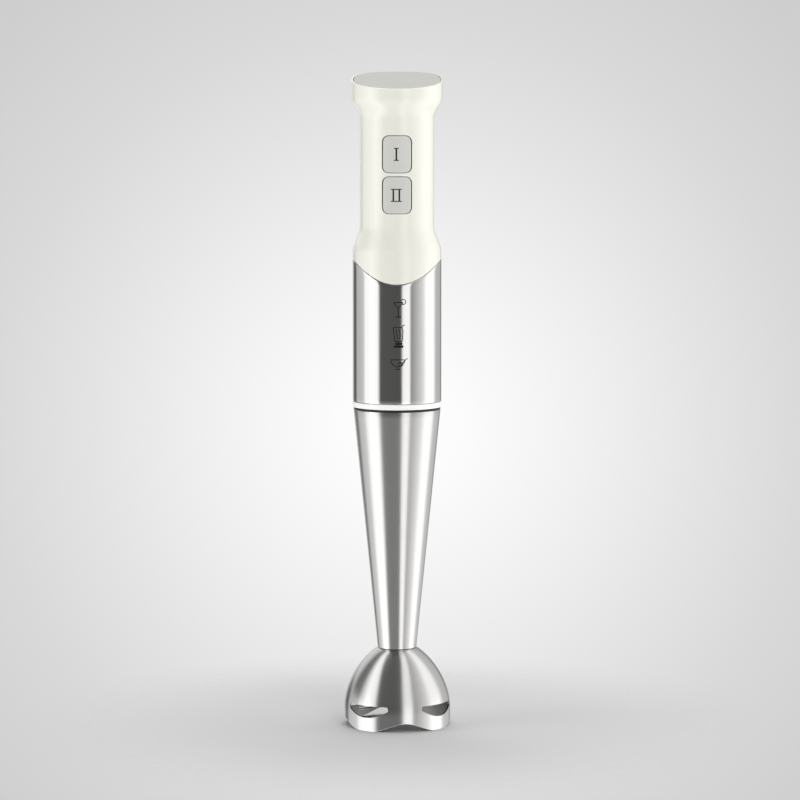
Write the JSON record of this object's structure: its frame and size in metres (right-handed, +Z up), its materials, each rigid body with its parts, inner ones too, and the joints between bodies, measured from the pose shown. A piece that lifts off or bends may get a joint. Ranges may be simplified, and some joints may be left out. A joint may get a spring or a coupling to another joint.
{
  "type": "immersion blender",
  "caption": "Slim upright hand blender: plastic handle with push buttons, steel sleeve, and a twist-off tapered steel foot with a slotted bell over its blade.",
  "frame": {"origin": "on the long axis, at the level that the bell's rim stands on", "axes": "+Z up along the long axis, from the bell to the handle; -Y is the front, where the buttons are; +X is to the right seen from the front"},
  "size_m": [0.065, 0.065, 0.3981],
  "materials": {
    "cream_plastic": "glossy moulded, cream white",
    "grey_plastic": "satin moulded, warm grey",
    "white_plastic": "smooth moulded, white",
    "black_rubber": "matte black rubber",
    "black_plastic": "black moulded",
    "nylon": "natural nylon",
    "polished_steel": "polished stainless",
    "brushed_steel": "stainless, fine turned brushing",
    "blade_steel": "ground stainless",
    "zinc_steel": "zinc-plated",
    "bronze": "sintered, oiled",
    "copper": "enamelled copper",
    "ferrite": "sintered ferrite",
    "laminated_iron": "stacked sheet",
    "carbon": "pressed carbon",
    "board_green": "coated laminate",
    "red_insulation": "insulation"
  },
  "bodies": {
    "motor_unit": {"motor_collar": "white_plastic", "metal_sleeve": "polished_steel", "motor_can": "zinc_steel", "motor_end_cap": "black_plastic", "magnet_left": "ferrite", "magnet_right": "ferrite", "brush_left": "carbon", "brush_right": "carbon", "motor_bushing_lower": "bronze", "motor_bushing_upper": "bronze", "motor_mount": "black_rubber", "motor_cradle": "black_rubber", "motor_screw_left": "zinc_steel", "motor_screw_right": "zinc_steel", "handle_front": "cream_plastic", "handle_rear": "cream_plastic", "top_cap": "grey_plastic", "cord_gland": "black_rubber", "case_screw_low": "zinc_steel", "case_screw_high": "zinc_steel", "button_seal": "black_rubber", "speed_one_switch": "black_plastic", "speed_two_switch": "black_plastic", "control_board": "board_green", "board_screw_low": "zinc_steel", "board_screw_high": "zinc_steel", "filter_capacitor": "black_plastic", "rectifier": "black_plastic", "suppression_choke": "copper", "lead_red": "red_insulation", "lead_black": "black_plastic"},
    "foot": {"bell_guard": "brushed_steel", "shaft_tube": "brushed_steel", "bayonet_insert": "black_plastic", "upper_bushing": "bronze", "bearing_holder": "nylon", "lower_bushing": "bronze", "seal_cup": "brushed_steel", "shaft_seal": "black_rubber"},
    "blade_drive": {"spindle": "blade_steel", "driven_coupler": "black_plastic", "spindle_clip": "zinc_steel", "blade": "blade_steel", "blade_nut": "blade_steel"},
    "seam_ring": {"seal_ring": "black_rubber"},
    "rotor": {"armature_core": "laminated_iron", "armature_windings": "copper", "commutator": "copper", "motor_shaft": "zinc_steel", "drive_coupler": "nylon"},
    "speed_one_key": {"button_one": "grey_plastic"},
    "speed_two_key": {"button_two": "grey_plastic"},
    "speed_one_plunger": {"speed_one_plunger": "white_plastic"},
    "speed_two_plunger": {"speed_two_plunger": "white_plastic"}
  },
  "joints": [
    {"name": "unit_twist", "type": "hinge", "parent": "foot", "child": "seam_ring", "pos_m": [0, 0, 0.1946], "axis": [0, 0, -1], "range_deg": [0, 30]},
    {"name": "unit_lift", "type": "slide", "parent": "seam_ring", "child": "motor_unit", "axis": [0, 0, 1], "range_m": [0, 0.06]},
    {"name": "motor_spin", "type": "hinge", "parent": "motor_unit", "child": "rotor", "pos_m": [0, 0, 0.24], "axis": [0, 0, 1], "continuous": true},
    {"name": "blade_spin", "type": "hinge", "parent": "foot", "child": "blade_drive", "pos_m": [0, 0, 0.1], "axis": [0, 0, 1], "continuous": true},
    {"name": "speed_one_press", "type": "slide", "parent": "motor_unit", "child": "speed_one_key", "axis": [0, 1, 0], "range_m": [0, 0.0012], "stiffness_N_per_m": 1000, "springref_m": -0.0012},
    {"name": "speed_two_press", "type": "slide", "parent": "motor_unit", "child": "speed_two_key", "axis": [0, 1, 0], "range_m": [0, 0.0012], "stiffness_N_per_m": 1000, "springref_m": -0.0012},
    {"name": "speed_one_plunge", "type": "slide", "parent": "motor_unit", "child": "speed_one_plunger", "axis": [0, 1, 0], "range_m": [0, 0.0012]},
    {"name": "speed_two_plunge", "type": "slide", "parent": "motor_unit", "child": "speed_two_plunger", "axis": [0, 1, 0], "range_m": [0, 0.0012]}
  ],
  "couplings": [
    {"joint": "blade_spin", "follows": "motor_spin", "ratio": 1},
    {"joint": "speed_one_plunge", "follows": "speed_one_press", "ratio": 1},
    {"joint": "speed_two_plunge", "follows": "speed_two_press", "ratio": 1}
  ]
}
